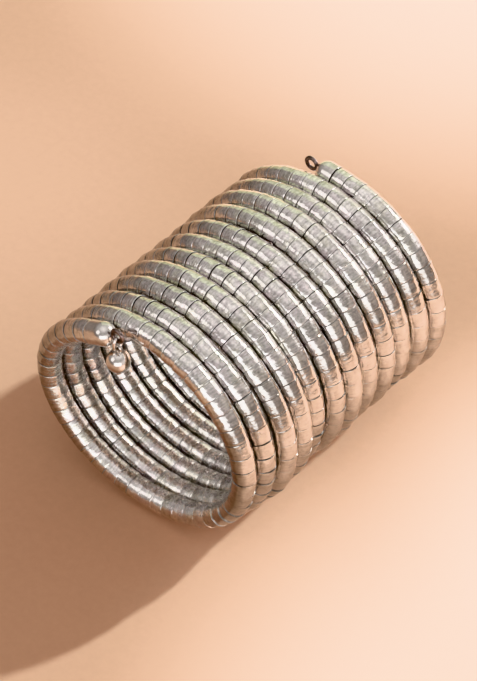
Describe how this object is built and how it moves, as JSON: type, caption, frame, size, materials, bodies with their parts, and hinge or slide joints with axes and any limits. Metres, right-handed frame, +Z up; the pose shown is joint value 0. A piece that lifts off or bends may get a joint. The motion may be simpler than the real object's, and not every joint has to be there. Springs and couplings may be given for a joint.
{
  "type": "spiral bangle",
  "caption": "Springy coil bangle of nested polished metal sleeves, lying on its side, with domed end caps, wire eyes and a small hanging ball.",
  "frame": {"origin": "on the surface that the bangle lies on, under the middle of its box", "axes": "+Z up, Y along the coil's axis, through which the wrist goes, with the front opening and the hanging ball at -Y"},
  "size_m": [0.0706, 0.0856, 0.0637],
  "materials": {
    "polished_silver": "polished silver with fine brushing, scratches and dark joints",
    "cap_silver": "bright polished silver",
    "dark_wire": "darkened steel wire with a dull shine",
    "ring_silver": "polished silver wire"
  },
  "bodies": {
    "root": {"turn_01": "polished_silver", "turn_02": "polished_silver", "turn_03": "polished_silver", "turn_04": "polished_silver", "turn_05": "polished_silver", "turn_06": "polished_silver", "turn_07": "polished_silver", "turn_08": "polished_silver", "turn_09": "polished_silver", "turn_10": "polished_silver", "turn_11": "polished_silver", "turn_12": "polished_silver", "front_cap": "cap_silver", "back_cap": "cap_silver", "front_eye": "dark_wire", "back_eye": "dark_wire", "jump_ring": "ring_silver", "ball_drop": "cap_silver"}
  },
  "joints": []
}
